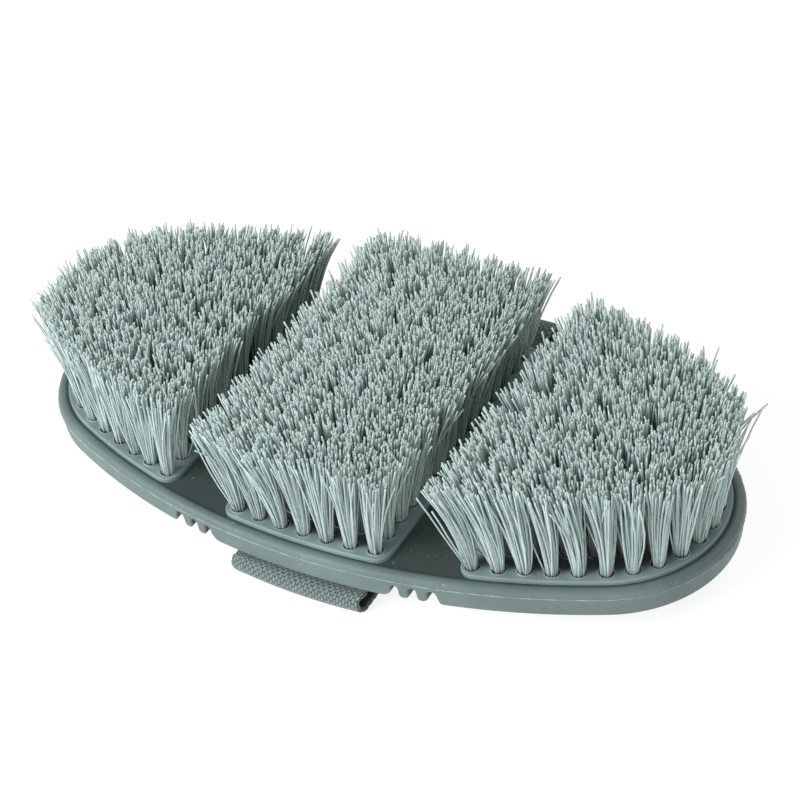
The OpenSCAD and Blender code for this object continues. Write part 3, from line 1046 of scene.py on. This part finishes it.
def strap_path():
    """Middle line of the webbing in the Y-Z plane, from the front tab to the rear tab, as spans."""
    plate_z = cad_low("tuft_plate_middle")[2]
    run_z = STRAP_T / 2
    under_z = BACK_Z - TURN_R
    fold_z = plate_z - STRAP_T / 2 - FOLD_R
    tab_z = plate_z - STRAP_T / 2
    front_y = -SLOT_Y - TURN_R - FRONT_STRAIGHT
    front_r = (under_z - run_z) / 2
    rise_y = SLOT_Y + TURN_R + REAR_STRAIGHT
    lean = math.radians(RISE_A)
    bulb_r = (under_z + RISE_R * (1 - math.cos(lean)) - run_z) / (1 + math.cos(lean))
    bulb_y = rise_y + (RISE_R + bulb_r) * math.sin(lean)
    spans = [
        [(-SLOT_Y + TAB_L, tab_z), (-SLOT_Y + FOLD_R, tab_z)],
        arc(-SLOT_Y + FOLD_R, fold_z, FOLD_R, 90, 180, 6),
        [(-SLOT_Y, fold_z), (-SLOT_Y, BACK_Z)],
        arc(-SLOT_Y - TURN_R, BACK_Z, TURN_R, 0, -90, 10),
        arc(front_y, run_z + front_r, front_r, 90, 270, 24),
        [(front_y, run_z), (bulb_y, run_z)],
        arc(bulb_y, run_z + bulb_r, bulb_r, -90, 90 + RISE_A, 40),
        arc(rise_y, under_z + RISE_R, RISE_R, 270 + RISE_A, 270, 16),
        arc(SLOT_Y + TURN_R, BACK_Z, TURN_R, 270, 180, 10),
        [(SLOT_Y, BACK_Z), (SLOT_Y, fold_z)],
        arc(SLOT_Y - FOLD_R, fold_z, FOLD_R, 0, 90, 6),
        [(SLOT_Y - FOLD_R, tab_z), (SLOT_Y - TAB_L, tab_z)],
    ]
    line = [spans[0][0]]
    for span in spans:
        line += [p for p in span if math.dist(p, line[-1]) > 1e-6]
    return np.array(line)


def resample(line, spacing):
    """Points at even spacing along a line, with the distance of each."""
    steps = np.linalg.norm(np.diff(line, axis=0), axis=1)
    reached = np.concatenate([[0], np.cumsum(steps)])
    places = np.linspace(0, reached[-1], int(reached[-1] / spacing) + 1)
    return np.stack([np.interp(places, reached, line[:, i]) for i in range(2)], 1), places


def weave_height(u, v, shift):
    """Height of the webbing's surface, from 0 in a hole to 1 on a float: a brick pattern of yarns."""
    column = np.floor(u / COLUMN_W)
    edge = np.abs((u / COLUMN_W - column) * 2 - 1)
    end = np.abs(((v / FLOAT_L + (column % 2) * 0.5 + CHEVRON * edge + shift) % 1.0) * 2 - 1)
    return np.sqrt(np.clip(1 - 0.9 * edge**2, 0, 1)) * (1 - 0.8 * end**3)


def front_slack(y, across_share):
    """The front loop bulges at mid width and sits a little askew: its move along Y, and along X."""
    held = np.clip((-SLOT_Y - TURN_R - HELD_FROM - y) / HELD_OVER, 0, 1)
    held = (held * held * (3 - 2 * held))[:, None]
    return held * (BULGE * across_share**2 - SKEW * across_share)[None, :], held * FRONT_SHIFT


def hand_strap():
    """One length of webbing along the path, with its weave raised on both faces."""
    line, places = resample(strap_path(), STRAP_STEP)
    along = np.gradient(line, axis=0)
    along /= np.linalg.norm(along, axis=1, keepdims=True)
    normal = np.stack([along[:, 1], -along[:, 0]], 1)
    half_w = STRAP_W / 2
    outer_u = np.linspace(-half_w, half_w, OUTER_POINTS)
    inner_u = np.linspace(half_w, -half_w, INNER_POINTS)[1:-1]
    u = np.concatenate([outer_u, inner_u])
    face = np.concatenate([np.ones(len(outer_u)), -np.ones(len(inner_u))])
    edge = np.clip((np.abs(u) - half_w + EDGE_W) / EDGE_W, 0, 1)
    thin = np.sqrt(np.clip(1 - EDGE_THINNING * edge**2, 0, 1))
    shift = np.where(face > 0, 0.0, INNER_WEAVE_SHIFT)[None, :]
    weave = weave_height(u[None, :] + half_w, places[:, None], shift)
    ripple = 0.05 * np.sin(places * 0.9)[:, None] + 0.04 * np.sin(places * 3.3)[:, None]
    depth = face * thin * (STRAP_T / 2 - WEAVE_H * (1 - weave))
    edge_wave = EDGE_WAVE * np.sin(places * 2.9)[:, None]
    x = u[None, :] * (1 - 0.004 * ripple) + edge_wave * (edge * np.sign(u))[None, :]
    slack_y, slack_x = front_slack(line[:, 0], u / half_w)
    x = x + slack_x
    y = line[:, None, 0] + normal[:, None, 0] * depth + slack_y
    z = line[:, None, 1] + normal[:, None, 1] * depth
    z = np.maximum(z, 0.0)
    rings = np.stack([np.broadcast_to(x, y.shape), y, z], 2)
    count = len(u)
    faces = [f[::-1] for f in loft(rings)]
    faces.append(tuple(range(count)))
    faces.append(tuple((len(rings) - 1) * count + i for i in range(count))[::-1])
    strap = make_mesh("hand_strap", rings.reshape(-1, 3), faces, [WEBBING])
    # marks the inner face, which gets painted shade
    inside = np.where(face > 0, 0.0, 1.0)[None, :]
    labels = (("across", u[None, :] + half_w), ("run", places[:, None]), ("inside", inside))
    for label, values in labels:
        set_values(strap, label, np.broadcast_to(values, y.shape).ravel())
    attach(strap, "middle")
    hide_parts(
        "strap_tab_front", "strap_loop_front", "strap_palm_band", "strap_loop_rear",
        "strap_tab_rear",
    )


# ---------------------------------------------------------------- stage, light and camera


FLOOR_HALF = 1500
FLOOR_GLOW = 0.82
WORLD_LIGHT = 0.38
LIGHT_TARGET = (0, 0, 0.02)

# Name, place, size and power of each light.
LIGHTS = (
    ("key_light", (-0.62, -0.85, 0.62), 0.8, 15.5),
    ("back_light", (0.25, 1.0, 0.75), 0.9, 3.5),
    ("fill_light", (0.55, -0.95, 0.35), 0.7, 2.6),
)

AZIMUTH = 32.1
ELEVATION = 39.45
ROLL = -6.02
DISTANCE = 612.85
LENS = 101.25
TARGET_X = -7.96
TARGET_Y = 21.36


def floor():
    h = FLOOR_HALF
    points = [(-h, -h, 0), (h, -h, 0), (h, h, 0), (-h, h, 0)]
    made = make_mesh("floor", points, [(0, 1, 2, 3)], [floor_material()], smooth=False)


def floor_material():
    material, tree, shader = new_material("pale_floor")
    tone = ramp(tree, noise(tree, 3.0), [(0.3, grey(0.3)), (0.7, grey(0.32))])
    link(tree, tone, shader.inputs["Base Color"])
    shader.inputs["Emission Color"].default_value = (1.0, 1.0, 1.0, 1.0)
    shader.inputs["Emission Strength"].default_value = FLOOR_GLOW
    shader.inputs["Roughness"].default_value = 0.9
    shader.inputs["Specular IOR Level"].default_value = 0.1
    return material


def area_light(name, place, size, power):
    light = bpy.data.lights.new(name, "AREA")
    light.shape = "SQUARE"
    light.size = size
    light.energy = power
    made = bpy.data.objects.new(name, light)
    bpy.context.scene.collection.objects.link(made)
    made.location = Vector(place)
    made.rotation_mode = "QUATERNION"
    made.rotation_quaternion = (Vector(LIGHT_TARGET) - made.location).to_track_quat("-Z", "Y")


def lights():
    world = bpy.data.worlds.new("studio")
    world.use_nodes = True
    background = world.node_tree.nodes["Background"]
    background.inputs["Color"].default_value = (1.0, 1.0, 1.0, 1.0)
    background.inputs["Strength"].default_value = WORLD_LIGHT
    bpy.context.scene.world = world
    for light in LIGHTS:
        area_light(*light)


def camera():
    """Looks down on the brush from the front and a little to the right, at the photograph's angle."""
    azimuth, elevation, roll = (math.radians(a) for a in (AZIMUTH, ELEVATION, ROLL))
    target = np.array([TARGET_X, TARGET_Y, BACK_Z])
    level = math.cos(elevation)
    back = np.array([math.sin(azimuth) * level, -math.cos(azimuth) * level, math.sin(elevation)])
    right = np.cross(-back, UP)
    right /= np.linalg.norm(right)
    up = np.cross(right, -back)
    rolled_right = right * math.cos(roll) + up * math.sin(roll)
    rolled_up = up * math.cos(roll) - right * math.sin(roll)
    data = bpy.data.cameras.new("camera")
    data.lens = LENS
    data.sensor_width = 36.0
    data.clip_start = 0.01
    data.clip_end = 20.0
    made = bpy.data.objects.new("camera", data)
    bpy.context.scene.collection.objects.link(made)
    turned = Matrix(np.stack([rolled_right, rolled_up, back], 1).tolist()).to_4x4()
    made.matrix_world = Matrix.Translation(Vector((target + back * DISTANCE) * MM)) @ turned
    bpy.context.scene.camera = made


def carried_over():
    """CAD nodes whose shape is right keep it, and get their finish here."""
    for name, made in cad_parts.items():
        if "anchors" in name or "staples" in name:
            made.data.materials.clear()
            made.data.materials.append(WIRE)


camera()
rubber_back()
middle_places = middle_tufts()
wing_places = wing_tufts()
tuft_plate("plate_middle", middle_outline, middle_places, 1, "middle", "tuft_plate_middle")
bristles("middle", "middle", middle_places, middle_lean, MIDDLE_SPREAD, MIDDLE_RISE, MIDDLE_TIPS, 1)
for side, mirror in SIDES:
    tuft_plate(f"plate_{side}", wing_outline, wing_places, mirror, f"{side}_wing", f"tuft_plate_{side}")
    bristles(side, f"{side}_wing", wing_places, wing_lean, WING_SPREAD, WING_RISE, WING_TIPS, mirror)
hand_strap()
carried_over()
floor()
lights()
bpy.context.scene.view_settings.view_transform = "Standard"
